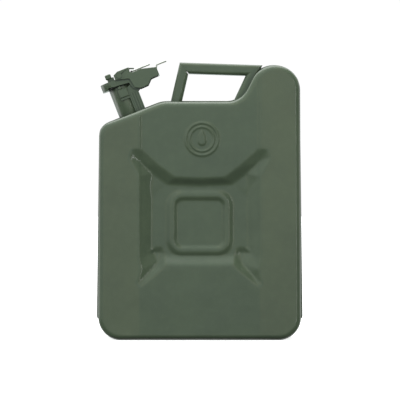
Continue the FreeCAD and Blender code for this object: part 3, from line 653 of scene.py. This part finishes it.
def weld_bead(name, path, up, radius):
    """A closed bead of overlapping ripples along a ring of places in metres."""
    lengths = np.cumsum([0.0] + [(b - a).length for a, b in zip(path, path[1:] + path[:1])])
    count = int(lengths[-1] / (0.6 * MM))
    closed = np.array([list(place) for place in path + path[:1]])
    along = np.linspace(0.0, lengths[-1], count, endpoint=False)
    centres = np.column_stack([np.interp(along, lengths, closed[:, axis]) for axis in range(3)])
    bm = bmesh.new()
    rings = []
    for index, centre in enumerate(centres):
        run = Vector(centres[(index + 1) % count] - centres[index - 1]).normalized()
        across = run.cross(up).normalized()
        ripple = 0.78 + 0.3 * abs(math.sin(math.pi * along[index] / (2.4 * MM)))
        ripple += 0.1 * math.sin(along[index] / MM * 0.9) * math.sin(along[index] / MM * 0.37)
        ring = []
        for k in range(WELD_SIDES):
            turn = 2 * math.pi * k / WELD_SIDES
            out = across * math.cos(turn) + up * math.sin(turn) * 0.75
            ring.append(bm.verts.new(Vector(centre) + out * radius * ripple))
        rings.append(ring)
    for index in range(count):
        first, second = rings[index], rings[(index + 1) % count]
        for k in range(WELD_SIDES):
            following = (k + 1) % WELD_SIDES
            bm.faces.new((first[k], first[following], second[following], second[k]))
    bmesh.ops.recalc_face_normals(bm, faces=bm.faces)
    mesh = bpy.data.meshes.new(name)
    bm.to_mesh(mesh)
    bm.free()
    for polygon in mesh.polygons:
        polygon.use_smooth = True
    bead = bpy.data.objects.new(name, mesh)
    bpy.context.scene.collection.objects.link(bead)
    mesh.materials.append(olive)
    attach(bead, "can")


def foot_ring(node, level):
    """The outer outline of a CAD node's foot, from its vertices within a millimetre of a level."""
    spots = [Vector(v.co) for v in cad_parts[node].data.vertices if abs(v.co.z - level) < 1.0 * MM]
    outer = convex_hull_2d([(spot.x, spot.y) for spot in spots])
    return [Vector((spots[k].x, spots[k].y, level)) for k in outer]


NECK_WELD_R = 17.3
neck_up = Vector((-math.sin(SHOULDER), 0.0, math.cos(SHOULDER)))
neck_ring = []
for k in range(72):
    turn = 2 * math.pi * k / 72
    place = neck_place(NECK_AXIS + NECK_WELD_R * math.cos(turn), 0.2)
    neck_ring.append((place + Vector((0.0, NECK_WELD_R * math.sin(turn), 0.0))) * MM)
weld_bead("weld_neck", neck_ring, neck_up, 1.3 * MM)
weld_bead("weld_post", foot_ring("handle_post", DECK * MM), Vector((0.0, 0.0, 1.0)), 1.1 * MM)


# ---- floor, world and lights -------------------------------------------------------------------------

FLOOR_HALF = 30.0


def add_floor():
    """A plain pale floor, bright enough to run into the white backdrop."""
    mesh = bpy.data.meshes.new("floor")
    corners = [(x * FLOOR_HALF, y * FLOOR_HALF, 0.0) for x, y in ((-1, -1), (1, -1), (1, 1), (-1, 1))]
    mesh.from_pydata(corners, [], [(0, 1, 2, 3)])
    floor = bpy.data.objects.new("floor", mesh)
    bpy.context.scene.collection.objects.link(floor)
    n = Nodes(bpy.data.materials.new("floor_white"))
    tone = n.ramp(n.noise(3.0, 2.0), 0.3, 0.7)
    colour = n.mix(tone, rgb(0.86, 0.86, 0.86), rgb(0.9, 0.9, 0.9))
    mesh.materials.append(n.surface(Base_Color=colour, Roughness=0.9, Emission_Color=rgb(1.0, 1.0, 1.0),
                                    Emission_Strength=0.75))
    floor.visible_glossy = False
    floor.visible_diffuse = False


# The studio seen from the can, by the x of the direction: bright far left and right, warm beside a cooler
# middle in front, dark on the right.
STUDIO = ((-1.0, rgb(0.75, 0.75, 0.75)), (-0.88, rgb(0.26, 0.28, 0.28)), (-0.6, rgb(0.30, 0.33, 0.33)),
          (-0.3, rgb(0.36, 0.39, 0.37)), (-0.12, rgb(0.52, 0.52, 0.42)), (-0.06, rgb(0.30, 0.36, 0.37)),
          (0.06, rgb(0.30, 0.36, 0.37)), (0.12, rgb(0.52, 0.52, 0.42)), (0.26, rgb(0.30, 0.30, 0.26)),
          (0.42, rgb(0.07, 0.08, 0.07)), (0.85, rgb(0.07, 0.08, 0.07)), (1.0, rgb(0.6, 0.6, 0.6)))
CEILING = rgb(0.95, 0.97, 0.98)
GROUND = rgb(0.07, 0.08, 0.07)
SIDE_SCREENS = rgb(0.95, 0.95, 0.95)
BACK_WALL = rgb(0.30, 0.34, 0.32)
STUDIO_STRENGTH = 1.75
WHITE_STRENGTH = 1.02          # of the white backdrop that shows behind the can


def add_world():
    """Light by direction: screens beside the can, ceiling above, dark ground, and white where it shows."""
    world = bpy.data.worlds.new("studio")
    bpy.context.scene.world = world
    n = Nodes(world)
    direction = n.add("ShaderNodeTexCoord").outputs["Generated"]
    x, y, z = n.add("ShaderNodeSeparateXYZ", Vector=direction).outputs
    ramp = n.add("ShaderNodeValToRGB", Fac=n.ramp(x, -1.0, 1.0))
    elements = ramp.color_ramp.elements
    for index, (place, colour) in enumerate(STUDIO):
        position = (place + 1.0) / 2.0
        if index < 2:
            elements[index].position = position
        else:
            elements.new(position)
        elements[index].color = colour
    colour = n.mix(n.ramp(z, 0.84, 0.97, kind="SMOOTHSTEP"), ramp.outputs["Color"], CEILING)
    colour = n.mix(n.ramp(z, 0.06, -0.24, kind="SMOOTHSTEP"), colour, GROUND)
    colour = n.mix(n.ramp(y, -0.05, 0.3, kind="SMOOTHSTEP"), colour, SIDE_SCREENS)
    colour = n.mix(n.ramp(y, 0.35, 0.8, kind="SMOOTHSTEP"), colour, BACK_WALL)
    lighting = n.add("ShaderNodeBackground", Color=colour, Strength=STUDIO_STRENGTH)
    backdrop = n.add("ShaderNodeBackground", Color=rgb(1.0, 1.0, 1.0), Strength=WHITE_STRENGTH)
    mix = n.add("ShaderNodeMixShader", Fac=n.add("ShaderNodeLightPath").outputs["Is Camera Ray"])
    n.tree.links.new(lighting.outputs[0], mix.inputs[1])
    n.tree.links.new(backdrop.outputs[0], mix.inputs[2])
    output = n.add("ShaderNodeOutputWorld")
    n.tree.links.new(mix.outputs[0], output.inputs["Surface"])


def add_light(name, place, aim, size, size_y, power):
    """A soft rectangular light, pointed at a place."""
    data = bpy.data.lights.new(name, "AREA")
    data.shape = "RECTANGLE"
    data.size = size
    data.size_y = size_y
    data.energy = power
    light = bpy.data.objects.new(name, data)
    light.location = place
    light.rotation_euler = (Vector(aim) - Vector(place)).to_track_quat("-Z", "Y").to_euler()
    bpy.context.scene.collection.objects.link(light)
    return light


bpy.context.scene.view_settings.view_transform = "Standard"
add_floor()
add_world()
CAN_MIDDLE = (0.0, 0.0, 0.2)
add_light("top_softbox", (0.0, 0.1, 1.4), CAN_MIDDLE, 1.8, 1.0, 5.0)
front = add_light("front_softbox", (0.0, -1.3, 1.35), CAN_MIDDLE, 1.2, 0.4, 10.0)
front.visible_glossy = False
add_light("right_strip", (1.05, -2.9, 0.25), (0.0, 0.0, 0.18), 0.12, 1.3, 2.2)
